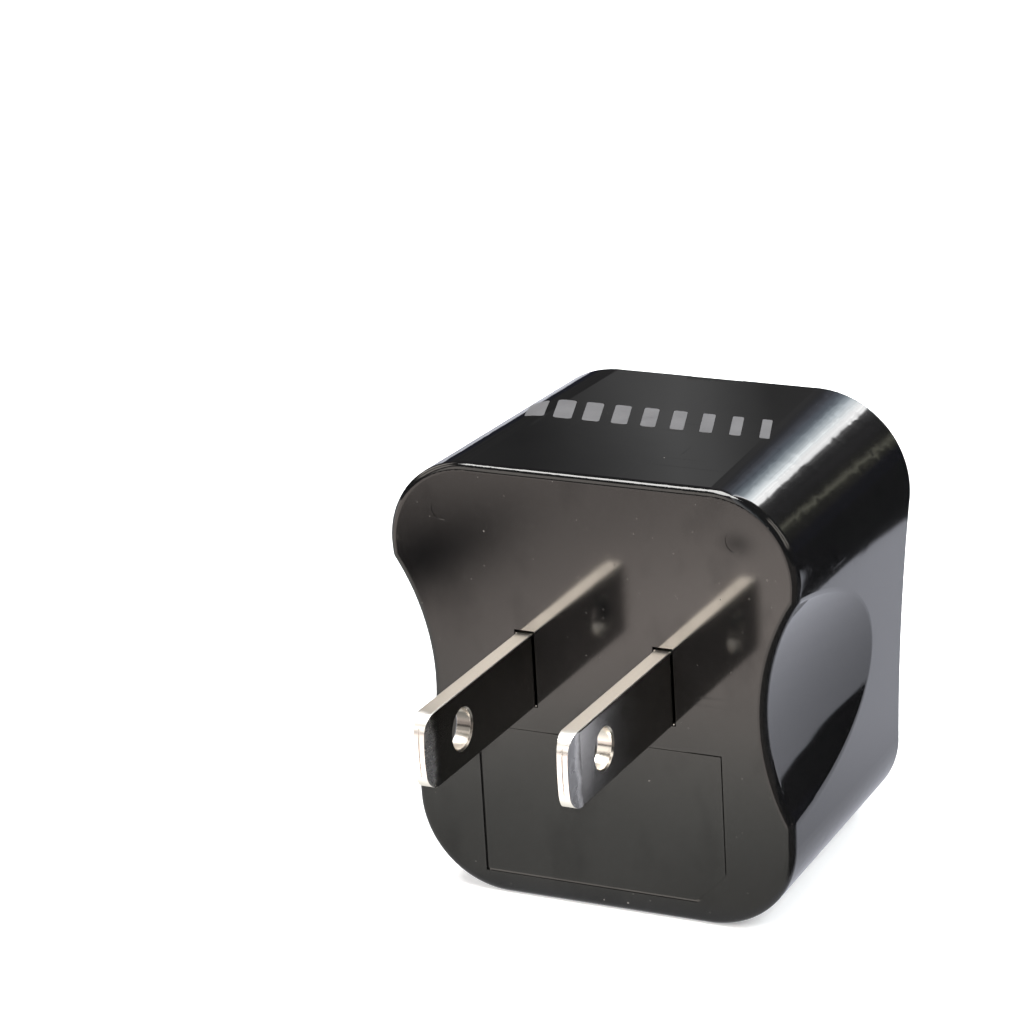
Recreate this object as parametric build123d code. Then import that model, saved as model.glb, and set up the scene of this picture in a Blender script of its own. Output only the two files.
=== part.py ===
from build123d import *
import math
import os

os.makedirs("parts", exist_ok=True)

# ---------------------------------------------------------------------------
# Universal travel adapter: multi-standard socket in, two flat blades out.
# Millimetres.  +Z up, +Y runs from the plug face into the body and out of the
# socket face, +X to the right when looking at the plug face.
# Origin: midway between the two blades, on the plane of the plug face.
# The line contacts are on the +X side, the neutral contacts on the -X side.
# ---------------------------------------------------------------------------

SIDES = (-1, 1)
OVER = 1.0               # how far a cutter runs past the surface it opens
FAR = 30.0               # beyond the body in X and Y

# --- body envelope ---
BODY_TOP = 17.8
BODY_BOTTOM = -21.1
BODY_DEPTH = 27.6        # plug face to socket rim
WALL = 1.8               # side wall thickness
FACE_WALL = 2.2          # thickness of the plug face
# half widths at (top corner, mid height, bottom corner), radii of (top, bottom) corners
FACE_W, FACE_R = (19.30, 17.95, 17.34), (7.6, 8.1)
RIM_W, RIM_R = (19.03, 16.77, 16.07), (8.4, 7.1)
MIN_CORNER_R = 0.5
FACE_EDGE_R = 0.7        # rounding of the plug face edge
RIM_EDGE_R = 0.45        # rounding of the socket rim's outer edge

# --- finger grips: an elliptic dish in each side wall ---
DISH_R = 19.45           # radius of the dish in the plug face plane
DISH_LONG = 47.2         # semi axis of the dish along the body
DISH_WAIST = 15.32       # half width left between the dishes at the plug face
DISH_X = DISH_WAIST + DISH_R
DISH_Z = -1.96
DISH_BACK = 6.0          # the dish body starts this far outside the plug face
DISH_TILT = 5.2          # the socket end of the dish sits lower, degrees
DISH_EDGE_R = 1.0

# --- plug blades ---
BLADE_PITCH = 12.7
BLADE_W = 6.5            # across, in Z
HALF_W = BLADE_W / 2
BLADE_T = 1.55
BLADE_FOOT_HALF = 4.2    # shoulder that stops the blade pulling out
BLADE_RIVET_Y = 8.6
BLADE_RIVET_R = 1.0
BLADE_RIVET_HOLE_R = 1.03

# --- clamp screws, on the centre plane ---
SCREW_Z = (9.0, -16.8)
CLAMP_Y = (5.05, 6.35)
SCREW_ACCESS_R = 2.0     # hole that clears a screw head

# --- socket insert in the rim ---
FIT_GAP = 0.12           # gap between rim and insert
INSERT_INSET = WALL + FIT_GAP
PAD_OUT = 3.4            # pad stands this far out of the rim
PAD_Y = BODY_DEPTH + PAD_OUT
KEY_TOP_HALF, KEY_BOTTOM_HALF = 2.45, 2.05   # half widths of the locating keys
KEY_DEPTH = 1.3
KEY_GAP = 0.06
KEY_BOTTOM_RISE = 0.5    # bottom notch starts this far above the body bottom
LUG_Z = (-11.6, -1.4)    # snap lugs
LUG_Y = (24.9, 26.3)
LUG_OUT = 0.55

# --- apertures and contacts ---
SLOT_Z = 9.7             # centre line of the live and neutral slots
PIN_HOLE_2 = 5.15        # drop from the upper to the lower in-line hole
LEAF_T = 0.5
STRIP_T = 0.8
SEAT_GAP = 0.03          # between an arm and the leaf on it
ARM_H = 3.05             # inner face of the flat arms, from the slot centre line
ARM_END = 16.0           # where the arms end and the leaves bend
WEB_Y = 10.6             # plug side of the live and neutral terminal webs
LEAF_X = (7.75, 13.2)    # width range of the upper and lower leaves
LEAF_MID_X = sum(LEAF_X) / 2
SIDE_X = 3.75            # face of the side arm nearest the centre plane
SIDE_T = 0.6
LEAF_ROOT_Y = 12.2
LEAF_RIVET_Y = 13.9
LEAF_CREST_Y = 23.0
LEAF_TIP_Y = 26.6
LEAF_GAP = 1.75          # crest surface above or below the pin centre line
FLAT_ROOT = ARM_H - SEAT_GAP - LEAF_T / 2            # leaf centre lines at the root
SIDE_ROOT = SIDE_X + SIDE_T + SEAT_GAP + LEAF_T / 2
ARM_HOLE_R = 0.72
LEAF_HOLE_R = 1.0        # oversize, so that the leaf can flex about its bend line
TAB_X = BLADE_PITCH / 2 + BLADE_T / 2 + 0.02         # terminal tab, just off the blade

EARTH_WEB_Y = 6.6
EARTH_ARM_X = 2.75       # inner face of the earth arms
EARTH_ARM_END = 13.0
EARTH_LEAF_Y = 9.3
EARTH_RIVET_Y = 11.0
EARTH_RIVET_Z = (-12.5, -3.0)
EARTH_CREST_Y = 22.5
EARTH_TIP_Y = 27.0
EARTH_GAP = 1.85
EARTH_ROOT = EARTH_ARM_X - SEAT_GAP - LEAF_T / 2
EARTH_Z = (-16.2, 0.2)


# ---------------------------------------------------------------------------
# helpers
# ---------------------------------------------------------------------------
def lerp(start, end, t):
    return start + (end - start) * t


def box(x0, x1, y0, y1, z0, z1):
    """Box between two opposite corners, each pair in either order."""
    centre = Pos((x0 + x1) / 2, (y0 + y1) / 2, (z0 + z1) / 2)
    return centre * Box(abs(x1 - x0), abs(y1 - y0), abs(z1 - z0))


def cyl_x(y, z, radius, x0, x1):
    return Pos((x0 + x1) / 2, y, z) * Rot(0, 90, 0) * Cylinder(radius, abs(x1 - x0))


def cyl_y(x, z, radius, y0, y1):
    return Pos(x, (y0 + y1) / 2, z) * Rot(90, 0, 0) * Cylinder(radius, abs(y1 - y0))


def cyl_z(x, y, radius, z0, z1):
    return Pos(x, y, (z0 + z1) / 2) * Cylinder(radius, abs(z1 - z0))


def prism(points, y0, y1):
    """Prism along Y from (x, z) points."""
    wire = Wire.make_polygon([(x, y0, z) for x, z in points], close=True)
    return extrude(Face(wire), amount=y1 - y0, dir=(0, 1, 0))


def edges_on(shape, test):
    return [e for e in shape.edges() if test(e)]


def edges_at_y(shape, y, tol=1e-4):
    """Edges that lie in the XZ plane at depth y."""
    return edges_on(
        shape,
        lambda e: abs(e.center().Y - y) < tol and abs(e.bounding_box().size.Y) < tol,
    )


def flip(part):
    """The same part on the other side of the centre plane."""
    return mirror(part, Plane.YZ)


def save(name, shape):
    export_step(shape, f"parts/{name}.step")


def save_pair(name, shape):
    """Save a line-side part and its mirror image on the neutral side."""
    save(f"line_{name}", shape)
    save(f"neutral_{name}", flip(shape))


# ---------------------------------------------------------------------------
# body form, shared by the shell, the carrier and the insert
# ---------------------------------------------------------------------------
def body_outline(y, inset=0.0, drop=0.0):
    """Face at depth y: flat top and bottom, waisted sides, rounded corners.
    It is moved inwards by inset, and its bottom is lowered by drop."""
    t = y / BODY_DEPTH
    top_x, mid_x, bottom_x = (lerp(a, b, t) - inset for a, b in zip(FACE_W, RIM_W))
    top_r, bottom_r = (
        max(MIN_CORNER_R, lerp(a, b, t) - inset) for a, b in zip(FACE_R, RIM_R)
    )
    top = BODY_TOP - inset
    bottom = BODY_BOTTOM + inset - drop
    mid = (top + bottom) / 2
    face = Face(Wire([
        Edge.make_line((-top_x, y, top), (top_x, y, top)),
        Edge.make_three_point_arc((top_x, y, top), (mid_x, y, mid), (bottom_x, y, bottom)),
        Edge.make_line((bottom_x, y, bottom), (-bottom_x, y, bottom)),
        Edge.make_three_point_arc((-bottom_x, y, bottom), (-mid_x, y, mid), (-top_x, y, top)),
    ]))
    for z, radius in ((top, top_r), (bottom, bottom_r)):
        face = face.fillet_2d(radius, [v for v in face.vertices() if abs(v.Z - z) < 1e-6])
    return face


def body_loft(y0, y1, inset=0.0, drop=0.0):
    return loft([body_outline(y0, inset, drop), body_outline(y1, inset, drop)], ruled=True)


def side_x(y, z, inset):
    """Half width of the body at depth y and height z, ignoring the dishes."""
    t = y / BODY_DEPTH
    top_x, mid_x, bottom_x = (lerp(a, b, t) for a, b in zip(FACE_W, RIM_W))
    u = (z - (BODY_TOP + BODY_BOTTOM) / 2) / ((BODY_TOP - BODY_BOTTOM) / 2)
    bow = (top_x + bottom_x) / 2 - mid_x
    return mid_x + (top_x - bottom_x) / 2 * u + bow * u * u - inset


def quarter_ellipse(semi_x, semi_y):
    """Quarter of an ellipse in the XY plane from (semi_x, 0) to (0, semi_y)."""
    angles = [math.radians(i * 7.5) for i in range(13)]
    return Edge.make_spline(
        [Vector(semi_x * math.cos(a), semi_y * math.sin(a), 0) for a in angles],
        tangents=[Vector(0, 1, 0), Vector(-1, 0, 0)],
    )


def cut_dishes(block, grow=0.0):
    """Cut an elliptic dish, its axis nearly along Y, from each side of a block."""
    radius = DISH_R + grow
    length = DISH_LONG + grow
    profile = Wire([
        quarter_ellipse(radius, length),
        Edge.make_line((0, length), (0, -DISH_BACK)),
        Edge.make_line((0, -DISH_BACK), (radius, -DISH_BACK)),
        Edge.make_line((radius, -DISH_BACK), (radius, 0)),
    ])
    face = Pos(DISH_X, 0, DISH_Z) * Face(profile)
    dish = revolve(face, Axis((DISH_X, 0, DISH_Z), (0, 1, 0)), 360)
    dish = Pos(0, 0, DISH_Z) * Rot(-DISH_TILT, 0, 0) * Pos(0, 0, -DISH_Z) * dish
    return block - dish - flip(dish)


# ---------------------------------------------------------------------------
# housing shell: one moulded cup, plug face closed, socket side open
# ---------------------------------------------------------------------------
TRIM = 0.004             # taken off the bottom wall so that it ends in one true plane
BLADE_SLOT_GAP = 0.14    # each side of a blade, in X
BLADE_SLOT_BELOW, BLADE_SLOT_ABOVE = 0.12, 0.28
LABEL_X, LABEL_TOP, LABEL_BOTTOM = 11.3, -5.5, -19.2
LABEL_CLIP = 2.8         # clipped lower corner on the +X side
LABEL_D = 0.12
GROOVE_W = 0.16
GROOVE_Y = (0.05, 0.3)
EJECTOR_X, EJECTOR_Z, EJECTOR_R, EJECTOR_D = 13.4, 13.6, 1.0, 0.05
BOSS_R, BOSS_END = 2.1, 5.0
PILOT_R, PILOT_START = 0.82, 1.2
NOTCH_REACH = 0.5        # top notch reaches this far below the inside of the wall
LUG_POCKET_GAP = (0.2, 0.1, 0.15)            # around a lug, in X, Y, Z


def label_prism(inset, y0, y1):
    """Label outline, a rectangle with one clipped corner, moved inwards."""
    x = LABEL_X - inset
    top, bottom = LABEL_TOP - inset, LABEL_BOTTOM + inset
    clip_shift = 0.414 * inset   # keeps the clipped edge parallel
    return prism([
        (-x, top), (x, top),
        (x, LABEL_BOTTOM + LABEL_CLIP + clip_shift),
        (LABEL_X - LABEL_CLIP - clip_shift, bottom),
        (-x, bottom),
    ], y0, y1)


def housing_shell():
    outer = cut_dishes(body_loft(0, BODY_DEPTH, drop=TRIM))
    dish_edges = edges_on(
        outer,
        lambda e: e.geom_type not in (GeomType.LINE, GeomType.CIRCLE)
        and 0.5 < e.center().Y < 26
        and abs(e.center().X) > 10,
    )
    outer = fillet(dish_edges, DISH_EDGE_R)
    outer = fillet(edges_at_y(outer, 0), FACE_EDGE_R)
    outer = fillet(edges_at_y(outer, BODY_DEPTH), RIM_EDGE_R)
    outer -= box(-FAR, FAR, -FAR, FAR, BODY_BOTTOM - OVER, BODY_BOTTOM)
    shell = outer - cut_dishes(body_loft(FACE_WALL, BODY_DEPTH + OVER, WALL), WALL)

    # slots that the blades pass through
    half_slot = BLADE_T / 2 + BLADE_SLOT_GAP
    for side in SIDES:
        x = side * BLADE_PITCH / 2
        shell -= box(x - half_slot, x + half_slot, -OVER, FACE_WALL + OVER,
                     -HALF_W - BLADE_SLOT_BELOW, HALF_W + BLADE_SLOT_ABOVE)

    # shallow rating-label recess, and the thin groove that frames it
    shell -= label_prism(0, -OVER, LABEL_D)
    shell -= label_prism(0, *GROOVE_Y) - label_prism(GROOVE_W, 0, OVER)
    # ejector marks
    for side in SIDES:
        shell -= cyl_y(side * EJECTOR_X, EJECTOR_Z, EJECTOR_R, -OVER, EJECTOR_D)

    # rim notches for the insert's locating keys
    half, y = KEY_TOP_HALF + KEY_GAP, BODY_DEPTH - KEY_DEPTH
    shell -= box(-half, half, y, BODY_DEPTH + OVER,
                 BODY_TOP - WALL - NOTCH_REACH, BODY_TOP + OVER)
    half = KEY_BOTTOM_HALF + KEY_GAP
    bottom = BODY_BOTTOM + KEY_BOTTOM_RISE
    shell -= box(-half, half, y, BODY_DEPTH + OVER, bottom, bottom + WALL)

    # pockets for the insert's snap lugs
    wall_x = side_x(sum(LUG_Y) / 2, sum(LUG_Z) / 2, WALL)
    gap_x, gap_y, gap_z = LUG_POCKET_GAP
    for side in SIDES:
        shell -= box(side * (wall_x - 1.0), side * (wall_x + LUG_OUT + gap_x),
                     LUG_Y[0] - gap_y, LUG_Y[1] + gap_y, LUG_Z[0] - gap_z, LUG_Z[1] + gap_z)

    # screw bosses standing on the inside of the plug face
    for z in SCREW_Z:
        shell += cyl_y(0, z, BOSS_R, FACE_WALL - 0.2, BOSS_END)
        shell -= cyl_y(0, z, PILOT_R, PILOT_START, BOSS_END + OVER)
    return shell


# ---------------------------------------------------------------------------
# blades: folded flat pins with rounded, bevelled tips and shouldered feet
# ---------------------------------------------------------------------------
BLADE_L = 19.4           # beyond the plug face
BLADE_IN = 11.4          # length of blade inside the body
TIP_BOW = 0.35           # bulge of the tip arc
TIP_CORNER_R = 1.7
BLADE_EDGE_R = 0.18
BEVEL_L, BEVEL_D = 2.0, 0.33                 # tip bevel: length, depth at the tip
BLADE_HOLE_Y, BLADE_HOLE_R = -13.3, 1.7
BLADE_HOLE_CHAMFER = 0.16
FOLD_W, FOLD_L, FOLD_BOTTOM = 0.10, 0.28, -1.9
SHOULDER_Y = FACE_WALL + 0.05                # just inside the plug face


def blade(side):
    tip = -BLADE_L
    profile = Face(Wire([
        Edge.make_line((0, 0, HALF_W), (0, tip + TIP_BOW, HALF_W)),
        Edge.make_three_point_arc(
            (0, tip + TIP_BOW, HALF_W), (0, tip, 0), (0, tip + TIP_BOW, -HALF_W)),
        Edge.make_line((0, tip + TIP_BOW, -HALF_W), (0, 0, -HALF_W)),
        Edge.make_line((0, 0, -HALF_W), (0, 0, HALF_W)),
    ]))
    profile = profile.fillet_2d(
        TIP_CORNER_R, [v for v in profile.vertices() if v.Y < tip + 1])
    pin = Pos(-BLADE_T / 2, 0, 0) * extrude(profile, amount=BLADE_T, dir=(1, 0, 0))
    pin = fillet(edges_on(
        pin, lambda e: e.bounding_box().size.X < 1e-4 and e.center().Y < -0.01), BLADE_EDGE_R)
    # tip bevels on both flat sides
    low = -HALF_W - OVER
    for s in SIDES:
        wedge = Wire.make_polygon([
            (s * (BLADE_T / 2 + 0.02), tip + BEVEL_L, low),
            (s * (BLADE_T / 2 - BEVEL_D), tip - 0.1, low),
            (s * (BLADE_T / 2 + OVER), tip - 0.1, low),
            (s * (BLADE_T / 2 + OVER), tip + BEVEL_L, low),
        ], close=True)
        pin -= extrude(Face(wedge), amount=-2 * low, dir=(0, 0, 1))
    pin = pin - cyl_x(BLADE_HOLE_Y, 0, BLADE_HOLE_R, -BLADE_T, BLADE_T)
    hole_edges = edges_on(
        pin,
        lambda e: e.geom_type == GeomType.CIRCLE
        and abs(e.radius - BLADE_HOLE_R) < 1e-3
        and abs(e.arc_center.Y - BLADE_HOLE_Y) < 0.01,
    )
    pin = chamfer(hole_edges, BLADE_HOLE_CHAMFER)
    # fold line between the two plies at the tip
    pin -= box(-FOLD_W / 2, FOLD_W / 2, tip - OVER, tip + FOLD_L, FOLD_BOTTOM, HALF_W + 0.2)
    # inner part and shouldered foot behind the plug face
    pin += box(-BLADE_T / 2, BLADE_T / 2, -0.01, SHOULDER_Y, -HALF_W, HALF_W)
    pin += box(-BLADE_T / 2, BLADE_T / 2, SHOULDER_Y, BLADE_IN,
               -BLADE_FOOT_HALF, BLADE_FOOT_HALF)
    pin -= cyl_x(BLADE_RIVET_Y, 0, BLADE_RIVET_HOLE_R, -BLADE_T, BLADE_T)
    return Pos(side * BLADE_PITCH / 2, 0, 0) * pin


# ---------------------------------------------------------------------------
# blade clamp, insulating sheet and screws
# ---------------------------------------------------------------------------
CLAMP_X, CLAMP_Z = 11.6, 5.8                 # half sizes of the cross plate
SPINE_X, SPINE_Z = 4.2, (-18.9, 11.4)        # upright plate that takes the screws
CLAMP_CORNER_R = 1.0
GRIP_X, GRIP_Z = 2.6, 5.4                    # half sizes of the block round a blade foot
FOOT_GAP = 0.05
CLAMP_HOLE_R = 1.15
SHEET_X, SHEET_Y, SHEET_Z = 4.1, (6.4, 6.55), (-18.6, 11.2)
SCREW_R, SCREW_START = 0.8, 1.6
HEAD_R, HEAD_GAP, HEAD_TOP = 1.85, 0.02, 1.3     # gap and top are above the clamp
CROSS_LONG, CROSS_WIDE, CROSS_FLOOR = 1.2, 0.2, 0.8


def blade_clamp():
    """Moulded plate screwed to the bosses, pressing on the blade feet."""
    clamp = box(-CLAMP_X, CLAMP_X, *CLAMP_Y, -CLAMP_Z, CLAMP_Z)
    clamp += box(-SPINE_X, SPINE_X, *CLAMP_Y, *SPINE_Z)
    thick = CLAMP_Y[1] - CLAMP_Y[0]
    clamp = fillet(edges_on(
        clamp,
        lambda e: e.geom_type == GeomType.LINE
        and abs(e.bounding_box().size.Y - thick) < 0.05,
    ), CLAMP_CORNER_R)
    half_x, half_z = BLADE_T / 2 + FOOT_GAP, BLADE_FOOT_HALF + FOOT_GAP
    for side in SIDES:
        x = side * BLADE_PITCH / 2
        clamp += box(x - GRIP_X, x + GRIP_X, SHOULDER_Y, CLAMP_Y[1], -GRIP_Z, GRIP_Z)
        clamp -= box(x - half_x, x + half_x, 0, CLAMP_Y[1] + OVER, -half_z, half_z)
    for z in SCREW_Z:
        clamp -= cyl_y(0, z, CLAMP_HOLE_R, 0, CLAMP_Y[1] + OVER)
    return clamp


def insulation_sheet():
    """Sheet between the clamp and the earth terminal."""
    sheet = box(-SHEET_X, SHEET_X, *SHEET_Y, *SHEET_Z)
    for z in SCREW_Z:
        sheet -= cyl_y(0, z, SCREW_ACCESS_R, 0, SHEET_Y[1] + OVER)
    return sheet


def clamp_screws():
    """Two self-tapping screws with cross-slotted pan heads on the clamp."""
    seat = CLAMP_Y[1]
    screws = []
    for z in SCREW_Z:
        screw = cyl_y(0, z, SCREW_R, SCREW_START, seat)
        screw += cyl_y(0, z, HEAD_R, seat + HEAD_GAP, seat + HEAD_TOP)
        # joins shank and head across the gap
        screw += cyl_y(0, z, SCREW_R, seat - 0.1, seat + 0.1)
        for half_x, half_z in ((CROSS_LONG, CROSS_WIDE), (CROSS_WIDE, CROSS_LONG)):
            screw -= box(-half_x, half_x, seat + CROSS_FLOOR, seat + HEAD_TOP + OVER,
                         z - half_z, z + half_z)
        screws.append(screw.solid())
    return Compound(children=screws)


# ---------------------------------------------------------------------------
# terminals (fixed stampings)
# ---------------------------------------------------------------------------
ARM_STOP = 0.05          # arms stop this far short of the bend in the leaf
TONGUE_X, TONGUE_Z, TONGUE_END = (7.2, 7.62), (2.95, 3.85), 21.5
SIDE_ARM_HALF, SIDE_LEAF_HALF = 2.4, 2.35    # half heights in Z
TAB_Y, TAB_BOTTOM, TAB_OVERLAP = 6.9, -3.4, 0.6
EARTH_FOOT = 1.6         # terminal starts this far above the leaf's lower edge
EARTH_WEB_RISE = 6.0     # web reaches this far above the arms


def line_terminal():
    web_end, arm_end = WEB_Y + STRIP_T, ARM_END - ARM_STOP
    half = ARM_H + STRIP_T
    body = box(SIDE_X, LEAF_X[1], WEB_Y, web_end, SLOT_Z - half, SLOT_Z + half)
    for s in SIDES:
        # lower and upper arms
        body += box(*LEAF_X, WEB_Y, arm_end, SLOT_Z + s * ARM_H, SLOT_Z + s * half)
        # backing tongue beside the upright slot
        body += box(*TONGUE_X, WEB_Y, TONGUE_END,
                    SLOT_Z + s * TONGUE_Z[0], SLOT_Z + s * TONGUE_Z[1])
    # side arm
    body += box(SIDE_X, SIDE_X + SIDE_T, WEB_Y, arm_end,
                SLOT_Z - SIDE_ARM_HALF, SLOT_Z + SIDE_ARM_HALF)
    # tab riveted to the blade
    body += box(TAB_X, TAB_X + STRIP_T, TAB_Y, web_end,
                TAB_BOTTOM, SLOT_Z - half + TAB_OVERLAP)
    body -= cyl_x(BLADE_RIVET_Y, 0, BLADE_RIVET_HOLE_R, TAB_X - 1, TAB_X + 2)
    # rivet holes for the leaves
    for s in SIDES:
        z = SLOT_Z + s * (ARM_H + STRIP_T / 2)
        body -= cyl_z(LEAF_MID_X, LEAF_RIVET_Y, ARM_HOLE_R, z - 1.5, z + 1.5)
    body -= cyl_x(LEAF_RIVET_Y, SLOT_Z, ARM_HOLE_R, SIDE_X - 1, SIDE_X + 2)
    return body


def earth_terminal():
    """U-shaped stamping behind the keyhole."""
    outer_x = EARTH_ARM_X + STRIP_T
    bottom = EARTH_Z[0] + EARTH_FOOT
    body = box(-outer_x, outer_x, EARTH_WEB_Y, EARTH_WEB_Y + STRIP_T,
               bottom, EARTH_Z[1] + EARTH_WEB_RISE)
    for s in SIDES:
        body += box(s * EARTH_ARM_X, s * outer_x, EARTH_WEB_Y, EARTH_ARM_END - ARM_STOP,
                    bottom, EARTH_Z[1])
        for z in EARTH_RIVET_Z:
            body -= cyl_x(EARTH_RIVET_Y, z, ARM_HOLE_R,
                          s * (EARTH_ARM_X - 1), s * (EARTH_ARM_X + 2))
    for z in SCREW_Z:
        body -= cyl_y(0, z, SCREW_ACCESS_R, 6, 8)
    return body


# ---------------------------------------------------------------------------
# spring leaves: bent strips
# ---------------------------------------------------------------------------
EARTH_SLIT_Y, EARTH_SLIT_Z = 15.0, (-6.9, -6.5)


def smooth_path(bends, steps=4):
    """Points of a Catmull-Rom curve through the bends."""
    padded = [bends[0], *bends, bends[-1]]
    path = []
    for quad in zip(padded, padded[1:], padded[2:], padded[3:]):
        for k in range(steps):
            t = k / steps
            path.append(tuple(
                0.5 * (2 * start + (end - before) * t
                       + (2 * before - 5 * start + 4 * end - after) * t ** 2
                       + (3 * start - before - 3 * end + after) * t ** 3)
                for before, start, end, after in zip(*quad)))
    path.append(bends[-1])
    return path


def leaf_strip(bends, low, high, width_axis):
    """Strip of leaf thickness bent along a centre line, from low to high on
    its width axis.  Bends are (y, z) for width axis X and (y, x) for Z."""
    path = smooth_path(bends)
    runs = []
    for (a0, b0), (a1, b1) in zip(path, path[1:]):
        length = math.hypot(a1 - a0, b1 - b0)
        runs.append(((a1 - a0) / length, (b1 - b0) / length))
    left, right = [], []
    # each point moves along the mitre between the runs before and after it
    for (a, b), before, after in zip(path, runs[:1] + runs, runs + runs[-1:]):
        sum_a, sum_b = before[0] + after[0], before[1] + after[1]
        scale = LEAF_T / (sum_a ** 2 + sum_b ** 2)
        left.append((a - sum_b * scale, b + sum_a * scale))
        right.append((a + sum_b * scale, b - sum_a * scale))
    loop = left + right[::-1]
    if width_axis == "X":
        points, direction = [(low, a, b) for a, b in loop], (1, 0, 0)
    else:
        points, direction = [(b, a, low) for a, b in loop], (0, 0, 1)
    face = Face(Wire.make_polygon(points, close=True))
    return extrude(face, amount=high - low, dir=direction)


def flat_leaf(s):
    """Upper (s=1) or lower (s=-1) spring leaf of the line terminal."""
    bends = [   # (y, distance from the slot centre line)
        (LEAF_ROOT_Y, FLAT_ROOT), (ARM_END, FLAT_ROOT), (19.4, FLAT_ROOT - 0.25),
        (LEAF_CREST_Y, LEAF_GAP + LEAF_T / 2), (25.1, 2.45), (LEAF_TIP_Y, 3.4)]
    leaf = leaf_strip([(y, SLOT_Z + s * rise) for y, rise in bends], *LEAF_X, "X")
    z = SLOT_Z + s * FLAT_ROOT
    return leaf - cyl_z(LEAF_MID_X, LEAF_RIVET_Y, LEAF_HOLE_R, z - 1, z + 1)


def side_leaf():
    """Leaf that presses on the flat side of an upright blade."""
    bends = [   # (y, x)
        (LEAF_ROOT_Y, SIDE_ROOT), (ARM_END, SIDE_ROOT), (19.5, SIDE_ROOT + 0.25),
        (LEAF_CREST_Y, 5.35), (25.0, 4.9), (LEAF_TIP_Y, 4.15)]
    leaf = leaf_strip(bends, SLOT_Z - SIDE_LEAF_HALF, SLOT_Z + SIDE_LEAF_HALF, "Z")
    return leaf - cyl_x(LEAF_RIVET_Y, SLOT_Z, LEAF_HOLE_R, SIDE_ROOT - 1, SIDE_ROOT + 1)


def earth_leaf(s):
    """Earth leaf on the +X (s=1) or -X (s=-1) side."""
    bends = [   # (y, distance from the centre plane)
        (EARTH_LEAF_Y, EARTH_ROOT), (EARTH_ARM_END, EARTH_ROOT), (17.6, EARTH_ROOT - 0.02),
        (EARTH_CREST_Y, EARTH_GAP + LEAF_T / 2), (25.0, 2.75), (EARTH_TIP_Y, 3.75)]
    leaf = leaf_strip([(y, s * x) for y, x in bends], *EARTH_Z, "Z")
    # slit that lets the two fingers of the leaf flex
    leaf -= box(-8, 8, EARTH_SLIT_Y, FAR, *EARTH_SLIT_Z)
    for z in EARTH_RIVET_Z:
        leaf -= cyl_x(EARTH_RIVET_Y, z, LEAF_HOLE_R,
                      s * (EARTH_ROOT - 1), s * (EARTH_ROOT + 1))
    return leaf


# ---------------------------------------------------------------------------
# rivets
# ---------------------------------------------------------------------------
BLADE_HEAD_R, BLADE_HEAD_T = 1.6, 0.6
RIVET_SEAT = 0.02        # gap under a head
LEAF_SHANK_R = 0.7
LEAF_SLACK = 0.35        # play between the leaf and the rivet's inner head
OUTER_HEAD_R, OUTER_HEAD_T = 1.25, 0.36
INNER_HEAD_R, INNER_HEAD_T = 1.3, 0.3


def mirrored_set(rivets):
    """Compound of the +X side rivets and their mirror images."""
    return Compound(children=[r.solid() for r in [flip(r) for r in rivets] + rivets])


def blade_rivets():
    """Rivets joining the blades to the terminals."""
    x0 = BLADE_PITCH / 2 - BLADE_T / 2 - RIVET_SEAT
    x1 = TAB_X + STRIP_T + RIVET_SEAT
    rivet = cyl_x(BLADE_RIVET_Y, 0, BLADE_RIVET_R, x0, x1)
    rivet += cyl_x(BLADE_RIVET_Y, 0, BLADE_HEAD_R, x0 - BLADE_HEAD_T, x0)
    rivet += cyl_x(BLADE_RIVET_Y, 0, BLADE_HEAD_R, x1, x1 + BLADE_HEAD_T)
    return mirrored_set([rivet])


def leaf_rivet(arm_t):
    """Rivet along +Z through a leaf, then an arm; inner head seats at z = 0."""
    grip = LEAF_SLACK + LEAF_T + SEAT_GAP + arm_t
    seat = grip + RIVET_SEAT
    rivet = cyl_z(0, 0, LEAF_SHANK_R, 0, grip + 0.1)
    rivet += cyl_z(0, 0, OUTER_HEAD_R, seat, seat + OUTER_HEAD_T)
    rivet += cyl_z(0, 0, INNER_HEAD_R, -INNER_HEAD_T, 0)
    return rivet


def leaf_rivets():
    """Rivets holding the leaf roots to the arms."""
    inner = LEAF_T / 2 + LEAF_SLACK          # leaf centre line to inner head
    rivets = []
    for s, turn in ((-1, 180), (1, 0)):
        place = Pos(LEAF_MID_X, LEAF_RIVET_Y, SLOT_Z + s * (FLAT_ROOT - inner))
        rivets.append(place * Rot(turn, 0, 0) * leaf_rivet(STRIP_T))
    place = Pos(SIDE_ROOT + inner, LEAF_RIVET_Y, SLOT_Z)
    rivets.append(place * Rot(0, -90, 0) * leaf_rivet(SIDE_T))
    for z in EARTH_RIVET_Z:
        place = Pos(EARTH_ROOT - inner, EARTH_RIVET_Y, z)
        rivets.append(place * Rot(0, 90, 0) * leaf_rivet(STRIP_T))
    return mirrored_set(rivets)


# ---------------------------------------------------------------------------
# contact carrier: insulating block with a cell for each contact
# ---------------------------------------------------------------------------
CARRIER_Y = (10.0, 24.2)
CARRIER_INSET = WALL + 0.3
CELL_X, CELL_HALF = (3.25, 14.35), 5.35      # live and neutral cells
EARTH_CELL_X, EARTH_CELL_Z = 5.6, (-17.4, 1.6)
PIN_WELL_R, PIN_WELL_Y = 2.4, 12.0
WELL_X, WELL_Y, WELL_Z = (7.0, 11.2), 13.5, (-16.0, 2.6)
TAB_ROOM_X, TAB_ROOM_Z = (4.75, 8.85), (-4.7, 5.2)
TAB_ROOM_END = WEB_Y + STRIP_T + 0.3


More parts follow.
